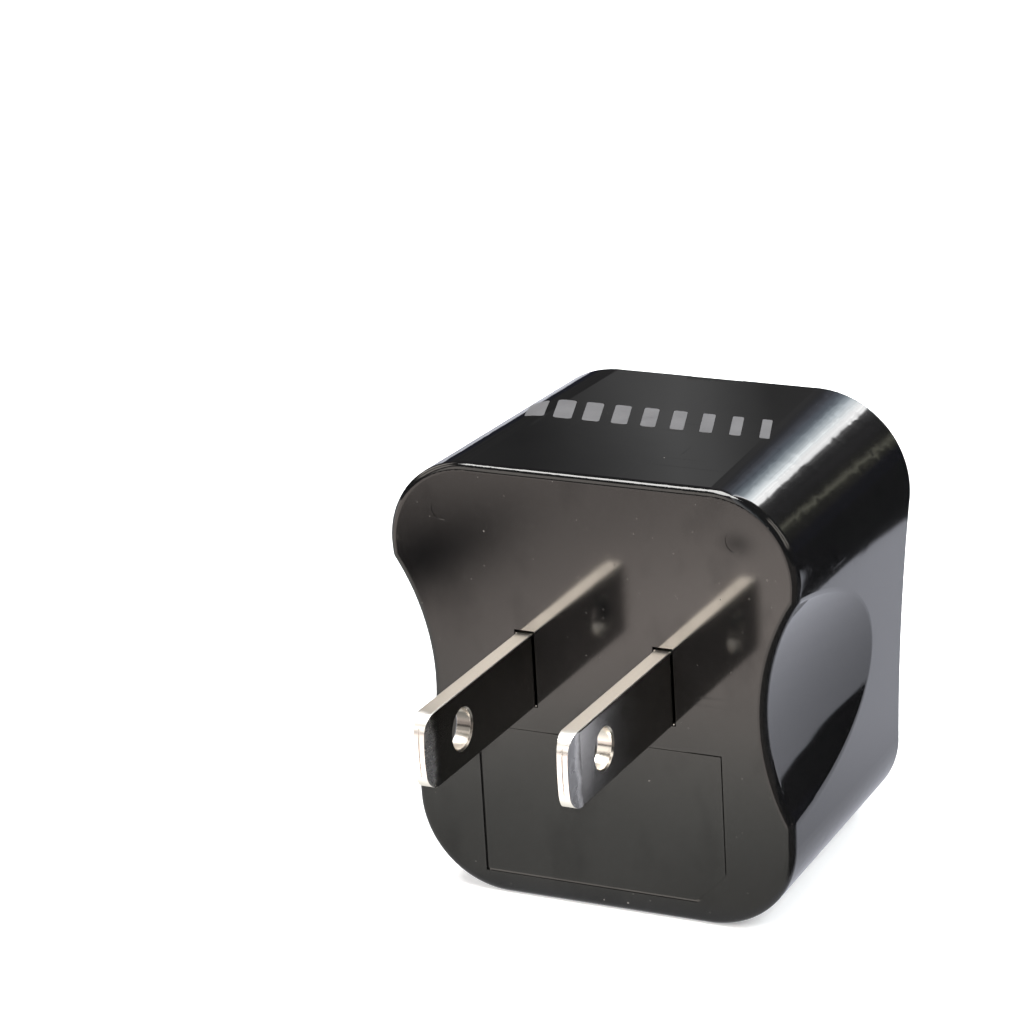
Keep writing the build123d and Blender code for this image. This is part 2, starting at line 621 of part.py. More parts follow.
def contact_carrier():
    start, end = CARRIER_Y[0] - OVER, CARRIER_Y[1] + OVER
    carrier = cut_dishes(body_loft(*CARRIER_Y, CARRIER_INSET), CARRIER_INSET)
    for side in SIDES:
        carrier -= box(side * CELL_X[0], side * CELL_X[1], start, end,
                       SLOT_Z - CELL_HALF, SLOT_Z + CELL_HALF)
    carrier -= box(-EARTH_CELL_X, EARTH_CELL_X, start, end, *EARTH_CELL_Z)
    for z in (SLOT_Z, SLOT_Z - PIN_HOLE_2):
        carrier -= cyl_y(0, z, PIN_WELL_R, PIN_WELL_Y, end)
    # lightening wells either side of the earth cell
    for side in SIDES:
        carrier -= box(side * WELL_X[0], side * WELL_X[1], WELL_Y, end, *WELL_Z)
    # room for the blade ends, the riveted tabs and the rivet heads
    for side in SIDES:
        carrier -= box(side * TAB_ROOM_X[0], side * TAB_ROOM_X[1], start, TAB_ROOM_END,
                       *TAB_ROOM_Z)
    return carrier


# ---------------------------------------------------------------------------
# socket insert: pad with every aperture, snapped into the rim
# ---------------------------------------------------------------------------
PAD_TOP, PAD_BOTTOM = 14.68, -17.35
PAD_TOP_X, PAD_BOTTOM_X = 15.15, 12.75       # half widths at the corners
PAD_TOP_R, PAD_BOTTOM_R = 3.55, 5.0
# (x, z) down the side of the pad, between the corner arcs
PAD_SIDE = [(15.15, 8.75), (14.8, 5.6), (14.12, 2.5), (13.48, -0.6),
            (13.02, -3.7), (12.82, -6.85), (12.81, -9.9)]
PAD_EDGE_R = 0.4         # rounding of the pad's socket-side edge
PAD_WALL = 2.3           # thickness of the pad's face
PAD_HOLLOW_INSET = 0.45
SKIRT_Y, HOLLOW_Y = 24.4, 24.0
SKIRT_WALL = 1.2
RELIEF_X, RELIEF_Y, RELIEF_Z = (11.8, 13.5), (24.2, 27.3), (13.3, 14.6)

# apertures; heights are from the slot centre line
CUT_Y = (PAD_Y - 4, PAD_Y + 2)
BAR_TOP, BAR_BOTTOM, BAR_X = 2.3, -2.2, 14.4     # 6.35 x 4 flat pins, 22.2 apart
UP_TOP, UP_BOTTOM = 4.03, -4.4                   # upright slot for 1.5 mm blades
UP_X0, UP_X1, UP_X2 = 4.4, 5.05, 7.5
STEP_OUTER, STEP_INNER = 0.25, -0.4              # slope from UP_X0 down to UP_X1
LOBE_X, LOBE_Z, LOBE_R = 8.6, -0.4, 3.2          # room for round pins 19 apart
PIN_HOLE_R = 2.28                                # two in-line earth holes
KEY_1, KEY_1_R = 11.8, 3.3                       # round earth pin: drop, radius
KEY_2, KEY_2_R = 20.3, 4.0                       # large round earth pin
NECK = 2.35
EARTH_SLOT_W, EARTH_SLOT_DROP = 4.9, 26.25       # 4 x 8 flat earth pin
APERTURE_EDGE_R = 0.18


def pad_outline(y, inset=0.0):
    """Outline of the pad: square shoulders, waisted sides that follow the
    finger grips, large lower corners."""
    top, bottom = PAD_TOP - inset, PAD_BOTTOM + inset
    top_x, bottom_x = PAD_TOP_X - inset, PAD_BOTTOM_X - inset
    # inset of an arc's midpoint from its square corner
    top_cut = PAD_TOP_R * (1 - math.sqrt(0.5))
    bottom_cut = PAD_BOTTOM_R * (1 - math.sqrt(0.5))
    top_arc = [(top_x - PAD_TOP_R, top), (top_x - top_cut, top - top_cut),
               (top_x, top - PAD_TOP_R)]
    bottom_arc = [(bottom_x, bottom + PAD_BOTTOM_R),
                  (bottom_x - bottom_cut, bottom + bottom_cut),
                  (bottom_x - PAD_BOTTOM_R, bottom)]
    side = [top_arc[-1], *[(x - inset, z) for x, z in PAD_SIDE], bottom_arc[0]]

    def vectors(points):
        return [Vector(x, y, z) for x, z in points]

    def other_side(points):
        return [(-x, z) for x, z in points[::-1]]

    def arc(points):
        return Edge.make_three_point_arc(*vectors(points))

    def flat(start):
        return Edge.make_line(*vectors([start, (-start[0], start[1])]))

    def spline(points, dz):
        return Edge.make_spline(vectors(points), tangents=[Vector(0, 0, dz)] * 2)

    return Face(Wire([
        flat((-top_arc[0][0], top)), arc(top_arc), spline(side, -1), arc(bottom_arc),
        flat(bottom_arc[-1]), arc(other_side(bottom_arc)), spline(other_side(side), 1),
        arc(other_side(top_arc)),
    ]))


def slot_cutter():
    """Combined slot for the line pin."""
    lobe_z = SLOT_Z + LOBE_Z
    cutter = box(UP_X1, BAR_X, *CUT_Y, SLOT_Z + BAR_BOTTOM, SLOT_Z + BAR_TOP)
    cutter += box(UP_X1, UP_X2, *CUT_Y, SLOT_Z + UP_BOTTOM, SLOT_Z + UP_TOP)
    cutter += prism([
        (UP_X0, SLOT_Z + STEP_OUTER), (UP_X1, SLOT_Z + STEP_INNER),
        (UP_X2, SLOT_Z + STEP_INNER), (UP_X2, SLOT_Z + UP_TOP), (UP_X0, SLOT_Z + UP_TOP),
    ], *CUT_Y)
    lobe = cyl_y(LOBE_X, lobe_z, LOBE_R, *CUT_Y)
    lobe &= box(LOBE_X, 20, 20, 40, SLOT_Z - 6, SLOT_Z)
    cutter += lobe
    cutter += box(UP_X2 - 0.5, LOBE_X, *CUT_Y, lobe_z - LOBE_R, SLOT_Z)
    return cutter


def keyhole_cutter():
    """Two round earth holes joined by a neck, with a flat slot below."""
    key_1_z, key_2_z = SLOT_Z - KEY_1, SLOT_Z - KEY_2
    cutter = cyl_y(0, key_1_z, KEY_1_R, *CUT_Y)
    cutter += cyl_y(0, key_2_z, KEY_2_R, *CUT_Y)
    cutter += box(-NECK / 2, NECK / 2, *CUT_Y, key_2_z, key_1_z)
    cutter += box(-EARTH_SLOT_W / 2, EARTH_SLOT_W / 2, *CUT_Y,
                  SLOT_Z - EARTH_SLOT_DROP, key_2_z)
    return cutter


def socket_insert():
    skirt = body_loft(SKIRT_Y, BODY_DEPTH, INSERT_INSET)
    pad = loft([body_outline(BODY_DEPTH, INSERT_INSET), pad_outline(PAD_Y)], ruled=True)
    insert = skirt + pad
    insert = fillet(edges_at_y(insert, PAD_Y, 1e-3), PAD_EDGE_R)
    inside = INSERT_INSET + SKIRT_WALL
    hollow = body_loft(HOLLOW_Y, BODY_DEPTH, inside)
    hollow += loft([
        body_outline(BODY_DEPTH, inside),
        pad_outline(PAD_Y - PAD_WALL, PAD_HOLLOW_INSET),
    ], ruled=True)
    insert -= hollow
    # relief in the skirt for the outer corners of the upper leaves
    for side in SIDES:
        insert -= box(side * RELIEF_X[0], side * RELIEF_X[1], *RELIEF_Y, *RELIEF_Z)

    slot = slot_cutter()
    insert -= slot
    insert -= flip(slot)
    for z in (SLOT_Z, SLOT_Z - PIN_HOLE_2):
        insert -= cyl_y(0, z, PIN_HOLE_R, *CUT_Y)
    insert -= keyhole_cutter()
    pad_faces = [f for f in insert.faces()
                 if abs(f.center().Y - PAD_Y) < 1e-3 and abs(f.normal_at().Y - 1) < 1e-3]
    front = max(pad_faces, key=lambda f: f.area)
    mouths = [e for w in front.inner_wires() for e in w.edges()]
    insert = fillet(mouths, APERTURE_EDGE_R)

    # locating keys in the rim notches
    key_y = BODY_DEPTH - KEY_DEPTH + KEY_GAP
    top_key = box(-KEY_TOP_HALF, KEY_TOP_HALF, key_y, BODY_DEPTH - 0.02,
                  BODY_TOP - INSERT_INSET - 0.6, BODY_TOP - 0.02)
    insert += fillet(edges_on(
        top_key,
        lambda e: e.center().Y > BODY_DEPTH - 0.03 and e.center().Z > BODY_TOP - 0.03,
    ), RIM_EDGE_R)
    insert += box(-KEY_BOTTOM_HALF, KEY_BOTTOM_HALF, key_y, BODY_DEPTH - 0.12,
                  BODY_BOTTOM + KEY_BOTTOM_RISE + KEY_GAP, BODY_BOTTOM + INSERT_INSET + 0.6)
    # snap lugs
    wall_x = side_x(sum(LUG_Y) / 2, sum(LUG_Z) / 2, INSERT_INSET)
    for side in SIDES:
        insert += box(side * (wall_x - 0.9), side * (wall_x + LUG_OUT), *LUG_Y, *LUG_Z)
    return insert


save("housing_shell", housing_shell())
save("line_blade", blade(1))
save("neutral_blade", blade(-1))
save("blade_clamp", blade_clamp())
save("insulation_sheet", insulation_sheet())
save("clamp_screws", clamp_screws())
save_pair("terminal", line_terminal())
save_pair("leaf_upper", flat_leaf(1))
save_pair("leaf_lower", flat_leaf(-1))
save_pair("leaf_side", side_leaf())
save("earth_terminal", earth_terminal())
save("earth_leaf_left", earth_leaf(-1))
save("earth_leaf_right", earth_leaf(1))
save("blade_rivets", blade_rivets())
save("leaf_rivets", leaf_rivets())
save("contact_carrier", contact_carrier())
save("socket_insert", socket_insert())
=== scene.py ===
"""Plug adapter: looks of its CAD pieces, a printed motif, and a small studio.

Metres, +Z up.  The plug face and its two blades look to -y (the front), the top wall
to +z.  The body stands over a pale floor and the camera looks at it from the front,
above and to the right (+x).
"""
import math
from functools import cached_property

import bmesh
import bpy
from mathutils import Matrix, Vector
from mathutils.bvhtree import BVHTree


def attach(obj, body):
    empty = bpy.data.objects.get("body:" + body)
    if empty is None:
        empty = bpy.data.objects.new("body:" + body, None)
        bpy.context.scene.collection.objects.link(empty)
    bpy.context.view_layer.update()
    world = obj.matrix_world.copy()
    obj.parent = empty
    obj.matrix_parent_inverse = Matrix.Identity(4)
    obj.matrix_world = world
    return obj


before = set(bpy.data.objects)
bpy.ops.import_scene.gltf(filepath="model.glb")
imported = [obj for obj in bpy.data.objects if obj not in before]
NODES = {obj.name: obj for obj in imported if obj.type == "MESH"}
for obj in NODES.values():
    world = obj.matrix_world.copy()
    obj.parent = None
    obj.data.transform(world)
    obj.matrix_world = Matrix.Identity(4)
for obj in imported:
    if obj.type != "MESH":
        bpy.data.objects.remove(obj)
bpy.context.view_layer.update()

FLOOR_Z = -0.0211


# ---------------------------------------------------------------------------
# shader graphs
# ---------------------------------------------------------------------------
def operator(kind, swapped=False):
    """Python operator that adds a Math node of this kind."""
    def method(self, other):
        pair = (other, self) if swapped else (self, other)
        return self.graph.math(kind, *pair)
    return method


class Field:
    """Output socket with arithmetic: each operator adds one Math node."""

    def __init__(self, graph, socket):
        self.graph = graph
        self.socket = socket

    __add__ = operator("ADD")
    __radd__ = operator("ADD", swapped=True)
    __sub__ = operator("SUBTRACT")
    __rsub__ = operator("SUBTRACT", swapped=True)
    __mul__ = operator("MULTIPLY")
    max = operator("MAXIMUM")

    def __abs__(self):
        return self.graph.math("ABSOLUTE", self)

    def clamped(self):
        """Limit the Math node that was just added to 0..1."""
        self.socket.node.use_clamp = True
        return self

    def remap(self, source, to=(0.0, 1.0), smooth=False):
        """Carry the source range over to another range, held at both ends."""
        return self.graph.field(
            "MapRange", dict(enumerate((self, *source, *to))),
            interpolation_type="SMOOTHSTEP" if smooth else "LINEAR")


class Graph:
    """Node tree that is built from fields."""

    def __init__(self, tree):
        self.tree = tree
        tree.nodes.clear()

    def put(self, socket, value):
        """Link a field to an input, or set its value; plain colours get alpha 1."""
        if isinstance(value, Field):
            self.tree.links.new(value.socket, socket)
        elif socket.type == "RGBA":
            socket.default_value = (*value, 1)
        else:
            socket.default_value = value

    def node(self, kind, inputs=None, **settings):
        """Add a node; inputs are keyed by socket name or number."""
        node = self.tree.nodes.new("ShaderNode" + kind)
        for name, value in settings.items():
            setattr(node, name, value)
        for key, value in (inputs or {}).items():
            self.put(node.inputs[key], value)
        return node

    def field(self, kind, inputs=None, out=0, **settings):
        return Field(self, self.node(kind, inputs, **settings).outputs[out])

    def fields(self, kind, inputs=None):
        """Add a node and give all its outputs by name."""
        return {s.name: Field(self, s) for s in self.node(kind, inputs).outputs}

    def split(self, vector):
        return list(self.fields("SeparateXYZ", {0: vector}).values())

    def math(self, kind, first, second=0.0):
        return self.field("Math", {0: first, 1: second}, operation=kind)

    def bell(self, across, along):
        """Gaussian spot: 1 at the centre, 1/e at distance 1."""
        return self.math("POWER", 2.71828, (across * across + along * along) * -1.0)

    def mix(self, base, over, amount):
        """Colour base, covered by colour over where amount is 1."""
        return self.field("Mix", {0: amount, 6: base, 7: over}, out=2, data_type="RGBA")

    def ramp(self, value, stops):
        """Colour ramp; stops are (position, colour)."""
        node = self.node("ValToRGB", {0: value})
        elements = node.color_ramp.elements
        while len(elements) < len(stops):
            elements.new(0.5)
        for element, (position, colour) in zip(elements, stops):
            element.position = position
            element.color = (*colour, 1)
        return Field(self, node.outputs[0])


class Material(Graph):
    """Principled material patterned in object space."""

    def __init__(self, name):
        self.data = bpy.data.materials.new(name)
        self.data.use_nodes = True
        super().__init__(self.data.node_tree)
        self.output = self.node("OutputMaterial")
        self.bsdf = self.node("BsdfPrincipled")
        self.shader = Field(self, self.bsdf.outputs[0])
        self.put(self.output.inputs["Surface"], self.shader)
        self.position = self.field("TexCoord", out="Object")

    @cached_property
    def normal(self):
        return self.field("NewGeometry", out="Normal")

    def scaled(self, scale, turn, shift):
        """Object position times scale (cycles per metre, one or one per axis)."""
        return self.field("Mapping", {
            "Vector": self.position, "Location": shift, "Rotation": turn,
            "Scale": scale if isinstance(scale, tuple) else (scale,) * 3})

    def noise(self, scale, detail, rough=0.6, warp=0.0, turn=(0, 0, 0), shift=(0, 0, 0)):
        return self.field("TexNoise", {
            "Vector": self.scaled(scale, turn, shift), "Scale": 1.0, "Detail": detail,
            "Roughness": rough, "Distortion": warp}, out="Fac")

    def specks(self, scale, radius, channel, pick, shift=(0, 0, 0)):
        """Dots that fade out over the radius range, in cells whose random channel
        lies above the pick range."""
        cells = self.fields("TexVoronoi", {
            "Vector": self.scaled(scale, (0, 0, 0), shift), "Scale": 1.0})
        dots = cells["Distance"].remap(radius, to=(1.0, 0.0))
        return dots * self.split(cells["Color"])[channel].remap(pick)

    def edge(self, radius, full=0.25):
        """0 on flats, 1 on outer and inner edges, where the rounded normal departs
        from the true one by the full amount."""
        rounded = self.field("Bevel", {"Radius": radius}, samples=4)
        match = self.field("VectorMath", {0: rounded, 1: self.normal}, out="Value",
                           operation="DOT_PRODUCT")
        return (1.0 - match).remap((0.02, full))

    def surface(self, base, rough, height, strength, depth, **more):
        """Fill in the shader: height, strength and depth (metres) make the bump;
        more names other inputs, with _ for a space."""
        bump = self.field("Bump", {"Strength": strength, "Distance": depth, "Height": height})
        more.update(Base_Color=base, Roughness=rough, Normal=bump)
        for name, value in more.items():
            self.put(self.bsdf.inputs[name.replace("_", " ")], value)
        return self.data


# ---------------------------------------------------------------------------
# materials; noise is remapped from its usual spread, about 0.3..0.7
# ---------------------------------------------------------------------------
MID = (0.3, 0.7)


def gloss_black():
    mat = Material("gloss_black_plastic")
    haze = mat.noise(70.0, detail=4.0)
    fine = mat.noise(2600.0, detail=2.0)
    peel = mat.noise(260.0, detail=1.5, rough=0.4)
    # hairline rub marks in two directions and in patches, only in the roughness
    rub_a = mat.noise((60.0, 2600.0, 3200.0), detail=0.0, rough=0.5, turn=(0.3, 0.5, 0.9))
    rub_b = mat.noise((3000.0, 50.0, 2600.0), detail=0.0, rough=0.5, turn=(0.9, 0.2, 0.4))
    scratch = rub_a.remap((0.745, 0.765)).max(rub_b.remap((0.755, 0.775)))
    patch = mat.noise(120.0, detail=1.0, rough=0.55, shift=(3, 1, 2)).remap((0.52, 0.64))
    scratch = scratch * patch
    # dust of two sizes
    speck = mat.specks(430.0, radius=(0.026, 0.046), channel=0, pick=(0.86, 0.88))
    mote = mat.specks(1150.0, radius=(0.04, 0.07), channel=1, pick=(0.95, 0.96),
                      shift=(4, 7, 2))
    wear = mat.edge(0.00035) * haze.remap((0.35, 0.65), to=(0.2, 1.0))

    base = mat.mix((0.0034, 0.0034, 0.0037), (0.0058, 0.0057, 0.0058), amount=haze)
    base = mat.mix(base, (0.045, 0.044, 0.042), amount=wear * 0.25)
    base = mat.mix(base, (0.36, 0.34, 0.31), amount=speck * 0.5)
    base = mat.mix(base, (0.26, 0.25, 0.23), amount=mote * 0.35)

    normal_x, normal_y, _ = mat.split(mat.normal)
    x, _, z = mat.split(mat.position)
    plug_side = normal_y.remap((-0.97, -0.995))
    rough = haze.remap((0.3, 0.75), to=(0.030, 0.052)) + fine * 0.012
    rough = (rough + plug_side * 0.045 + wear * 0.06 + scratch * 0.10).clamped()

    # the plug side mirrors less in one oval spot and in patches
    spot_x = spot_z = 0.0134
    per_metre_x, per_metre_z = 700.0, 1000.0  # 1 / radius of the spot
    spot = mat.bell((x - spot_x) * per_metre_x, (z - spot_z) * per_metre_z)
    film = mat.noise((190.0, 190.0, 110.0), detail=3.0, rough=0.55, shift=(7, 1, 4))
    film = film.remap((0.52, 0.72), to=(0.0, 0.5))
    dull = (spot.max(film) * plug_side).clamped()
    # painted shade: the left wall mirrors less, so it reads darker
    left_wall_shade = normal_x.remap((-0.55, -0.90), to=(0.0, 0.38))  # mirrors less
    specular = (0.5 - dull * 0.26 - left_wall_shade).clamped()

    height = peel * 0.6 + fine * 0.035 + (speck + mote) * 0.4
    return mat.surface(base, rough, height, strength=0.10, depth=0.00004,
                       IOR=1.55, Specular_IOR_Level=specular)


def matte_black():
    """Grained plastic with small painted sparkles; darker and smoother at its top."""
    mat = Material("textured_black_plastic")
    grain = mat.noise(3600.0, detail=2.0, rough=0.65)
    middle = mat.noise(1300.0, detail=3.0)
    broad = mat.noise(80.0, detail=3.0, rough=0.5)
    painted_glint = mat.specks(2300.0, radius=(0.10, 0.28), channel=1, pick=(0.70, 0.76))
    wear = mat.edge(0.0003)
    top = mat.split(mat.position)[2].remap((0.0172, 0.0175))

    base = mat.mix((0.034, 0.034, 0.0335), (0.050, 0.050, 0.049), amount=broad)
    base = mat.mix(base, (0.078, 0.078, 0.075),
                   amount=grain.remap((0.42, 0.62), to=(0.0, 0.7)))
    # painted glints: pale specks in the colour stand in for light caught by the grain
    base = mat.mix(base, (0.40, 0.39, 0.37), amount=painted_glint * 0.60)
    base = mat.mix(base, (0.11, 0.105, 0.095), amount=wear * 0.30)
    base = mat.mix(base, (0.006, 0.006, 0.006), amount=top)

    rough = middle.remap(MID, to=(0.46, 0.58)) - painted_glint * 0.25
    rough = (rough - wear * 0.12).clamped()
    rough = (rough - top * 0.34).clamped()
    height = grain * 0.5 + middle * 0.7 + painted_glint * 0.7
    return mat.surface(base, rough, height, strength=0.85, depth=0.00005, IOR=1.5)


def moulded(name, dark, light, rough):
    """Plain moulded plastic with flow marks and paler edges."""
    mat = Material(name)
    flow = mat.noise((140.0, 60.0, 140.0), detail=4.0, warp=0.6)
    fine = mat.noise(1500.0, detail=2.0, rough=0.5)
    wear = mat.edge(0.00025)
    worn = tuple(min(1, 2.2 * c + 0.02) for c in light)
    base = mat.mix(dark, light, amount=flow)
    base = mat.mix(base, worn, amount=wear * 0.3)
    rough = flow.remap(MID, to=(rough - 0.06, rough + 0.08)) + fine * 0.05
    return mat.surface(base, rough, fine + flow, strength=0.2, depth=0.00003, IOR=1.5)


def nickel():
    """Bright nickel plate: smooth rolled flats with a fine lengthwise grain, rougher
    sheared edges, scuffed tips."""
    mat = Material("nickel_plate")
    x, y, _ = mat.split(mat.position)
    normal_z = mat.split(mat.normal)[2]
    lines = mat.noise((2500.0, 130.0, 4200.0), detail=3.0)
    cross = mat.noise((2600.0, 3600.0, 600.0), detail=3.0, rough=0.65)
    blotch = mat.noise(420.0, detail=4.0, rough=0.65)
    grain = mat.noise(4200.0, detail=2.0)
    pits = mat.noise(2200.0, detail=2.0)

    sheared = abs(normal_z).remap((0.45, 0.8))
    wobble = (mat.noise((300.0, 10.0, 420.0), detail=3.0) - 0.5) * 0.0016
    tip = (y + wobble).remap((-0.0176, -0.0184), smooth=True)
    wear = mat.edge(0.00018, full=0.2)
    # painted shade: the flats on the -x half are much darker
    shade = x.remap((0.0, -0.001), smooth=True) * (1.0 - sheared.max(tip))

    base = mat.mix((0.52, 0.50, 0.47), (0.62, 0.60, 0.57), amount=blotch)
    base = mat.mix(base, (0.66, 0.60, 0.52), amount=sheared * cross.remap(MID, to=(0.3, 0.9)))
    base = mat.mix(base, (0.10, 0.097, 0.093), amount=shade * 0.88)
    base = mat.mix(base, (0.90, 0.85, 0.78), amount=sheared * 0.6)
    base = mat.mix(base, (0.84, 0.83, 0.81), amount=tip * 0.8)
    base = mat.mix(base, (0.80, 0.78, 0.75), amount=wear * 0.5)

    rough = blotch.remap(MID, to=(0.15, 0.21)) + lines * 0.05
    rough = (rough + sheared * 0.16 + tip * 0.08).clamped()
    height = lines * 0.16 + cross * (sheared * 1.0)
    height = height + grain * (0.05 + sheared * 1.1)
    height = height + pits * (tip * 0.7) + blotch * (tip * 2.2)
    return mat.surface(base, rough, height, strength=0.35, depth=0.00005, Metallic=1.0)


def sheet_metal(name, dull, bright, tarnished, rough=0.22):
    """Drawn sheet with tarnish patches and brighter edges."""
    mat = Material(name)
    lines = mat.noise((2600.0, 80.0, 3000.0), detail=3.0)
    blotch = mat.noise(330.0, detail=4.0)
    pits = mat.noise(2200.0, detail=2.0)
    tarnish = mat.noise(160.0, detail=4.0, rough=0.65, shift=(5, 2, 1))
    tarnish = tarnish.remap((0.5, 0.75), to=(0.0, 0.7))
    wear = mat.edge(0.00018)
    worn = tuple(min(1.0, c * 1.12 + 0.05) for c in bright)
    base = mat.mix(dull, bright, amount=blotch)
    base = mat.mix(base, tarnished, amount=tarnish)
    base = mat.mix(base, worn, amount=wear * 0.6)
    rough = blotch.remap(MID, to=(rough, rough + 0.12)) + tarnish * 0.2
    height = lines * 0.7 + pits * 0.3
    return mat.surface(base, rough, height, strength=0.3, depth=0.00004, Metallic=1.0)


def pressed_board():
    """Brown board of two crossing layers of fibres."""
    mat = Material("pressed_insulation_board")
    upright = mat.noise((400.0, 400.0, 2600.0), detail=4.0, rough=0.7, turn=(0, 0.4, 0))
    level = mat.noise((2600.0, 400.0, 500.0), detail=4.0, rough=0.7, turn=(0, -0.3, 0))
    fibres = (upright + level) * 0.5
    base = mat.ramp(fibres, [(0.3, (0.20, 0.085, 0.035)), (0.7, (0.38, 0.19, 0.09))])
    rough = fibres.remap(MID, to=(0.55, 0.75))
    return mat.surface(base, rough, fibres, strength=0.5, depth=0.00004, IOR=1.5)


def print_ink():
    mat = Material("printed_grey_ink")
    fine = mat.noise(2400.0, detail=2.0)
    blotch = mat.noise(500.0, detail=3.0)
    base = mat.mix((0.092, 0.091, 0.095), (0.128, 0.127, 0.131), amount=blotch)
    base = mat.mix(base, (0.06, 0.06, 0.063), amount=fine.remap((0.66, 0.72), to=(0.0, 0.5)))
    rough = blotch.remap(MID, to=(0.34, 0.46))
    return mat.surface(base, rough, fine, strength=0.25, depth=0.00002, IOR=1.5)


def floor_with_painted_light():
    """Pale sheet.  Seen in mirror reflections it glows with painted pools of light and
    painted shade: warm in front of the plug face, cool behind, ending in a dark studio."""
    mat = Material("floor_with_painted_light")
    broad = mat.noise(9.0, detail=4.0, rough=0.5)
    fine = mat.noise(700.0, detail=2.0, rough=0.5)
    base = mat.mix((0.88, 0.88, 0.88), (0.91, 0.91, 0.91), amount=broad)
    mat.surface(base, 0.8, fine, strength=0.05, depth=0.00005, Specular_IOR_Level=0.1)
    x, y, _ = mat.split(mat.position)
    rays = mat.fields("LightPath")

    def pool(centre_x, centre_y, radius_x, radius_y):
        return mat.bell((x - centre_x) * (1 / radius_x), (y - centre_y) * (1 / radius_y))

    # front half of the painted light: dim close to the body, brighter further out, painted
    # dark patches on the left, painted streaks across
    front = y.remap((-0.006, -0.045), to=(0.90, 1.62), smooth=True)
    front = front + pool(-0.020, -0.066, 0.017, 0.026) * 1.25
    dark = pool(-0.054, -0.072, 0.007, 0.020) * 0.70
    dark = (dark + pool(-0.066, -0.074, 0.014, 0.024) * 0.62).clamped()
    painted_streaks = mat.noise((38.0, 16.0, 1.0), detail=2.0, rough=0.5, turn=(0, 0, 0.5))
    front = front * (1.0 - dark) * painted_streaks.remap((0.35, 0.65), to=(0.88, 1.10))

    # right-hand side in shade, in front of a slanting line
    side = x.remap((0.0185, 0.0235), smooth=True)
    side = side * (y - (x - 0.018) * 0.84).remap((0.004, -0.004), smooth=True)

    # rear half of the painted light brightens along a slant and ends at three slanting lines
    rear = (y + x * 1.2).remap((0.042, 0.078), to=(0.66, 0.97), smooth=True)
    bound = (0.095 - (x - 0.031) * 4.5).max(0.070 + (x - 0.041) * 1.65)
    right = ((x - 0.0560) - (y - 0.060) * 0.30).remap((-0.0008, 0.0014), smooth=True)
    right = right * y.remap((0.050, 0.054), smooth=True)
    beyond = (y - bound).remap((-0.0012, 0.0016), smooth=True).max(right)

    is_front = y.remap((-0.004, 0.004), to=(1.0, 0.0))
    level = front * is_front + rear * (1.0 - is_front)
    level = level * (1.0 - side * 0.86) * (1.0 - beyond * 0.99)
    warm = mat.mix((1.01, 0.99, 0.92), (1.09, 0.96, 0.885),
                   amount=y.remap((-0.014, -0.06), smooth=True))
    tint = mat.mix((0.945, 0.965, 1.07), warm, amount=is_front)

    # painted light: mirrors see the floor glowing with the painted pools, the camera sees the
    # sheet slightly lifted
    pools = mat.field("Emission", {"Color": tint, "Strength": level})
    lift = mat.field("Emission", {"Color": (1, 1, 1),
                                  "Strength": rays["Is Camera Ray"] * 0.34})
    sheet = mat.field("AddShader", {0: mat.shader, 1: lift})
    seen = mat.field("MixShader", {0: rays["Is Glossy Ray"], 1: sheet, 2: pools})
    mat.put(mat.output.inputs["Surface"], seen)
    return mat.data


BRASS_PIECES = """
    line_terminal neutral_terminal earth_terminal blade_rivets leaf_rivets
    line_leaf_upper line_leaf_lower line_leaf_side
    neutral_leaf_upper neutral_leaf_lower neutral_leaf_side"""

# material, names of the pieces made of it
for material, pieces in (
        (gloss_black(), "housing_shell"),
        (matte_black(), "socket_insert"),
        (moulded("cell_black_plastic", dark=(0.014, 0.014, 0.014),
                 light=(0.028, 0.028, 0.027), rough=0.42), "contact_carrier"),
        (moulded("clamp_grey_plastic", dark=(0.10, 0.10, 0.10),
                 light=(0.15, 0.15, 0.148), rough=0.45), "blade_clamp"),
        (nickel(), "line_blade neutral_blade"),
        (sheet_metal("brass_sheet", dull=(0.74, 0.47, 0.16), bright=(0.86, 0.62, 0.27),
                     tarnished=(0.28, 0.15, 0.05)), BRASS_PIECES),
        (sheet_metal("copper_sheet", dull=(0.72, 0.40, 0.22), bright=(0.88, 0.56, 0.36),
                     tarnished=(0.25, 0.10, 0.05)), "earth_leaf_left earth_leaf_right"),
        (sheet_metal("screw_steel", dull=(0.44, 0.43, 0.41), bright=(0.60, 0.59, 0.57),
                     tarnished=(0.20, 0.19, 0.18), rough=0.28), "clamp_screws"),
        (pressed_board(), "insulation_sheet")):
    for piece in pieces.split():
        slots = NODES[piece].data.materials
        slots.clear()
        slots.append(material)


def add_object(name, data):
    obj = bpy.data.objects.new(name, data)
    bpy.context.scene.collection.objects.link(obj)
    return obj


# ---------------------------------------------------------------------------
# printed motif on the top wall: slanted bars, a thin ink film
# ---------------------------------------------------------------------------
MOTIF_X = (-0.0132, 0.0109)
MOTIF_Y = (0.0133, 0.0179)
BARS = 9
BAR_SLANT = 0.0016      # shift towards -x from the low-y end to the high-y end
FIRST_FILL = 0.70       # width of the first bar as a share of the pitch
FILL_STEP = 0.045       # each next bar is narrower by this share
CORNER_SHARE = 0.22     # corner radius as a share of the smaller bar side
CORNER_STEPS = 4
STRIP = 0.0003          # the film is cut this fine to follow the wall's rounded corner
FILM_LIFT = 0.000018    # top of the film above the wall
FILM_DEPTH = 0.00003


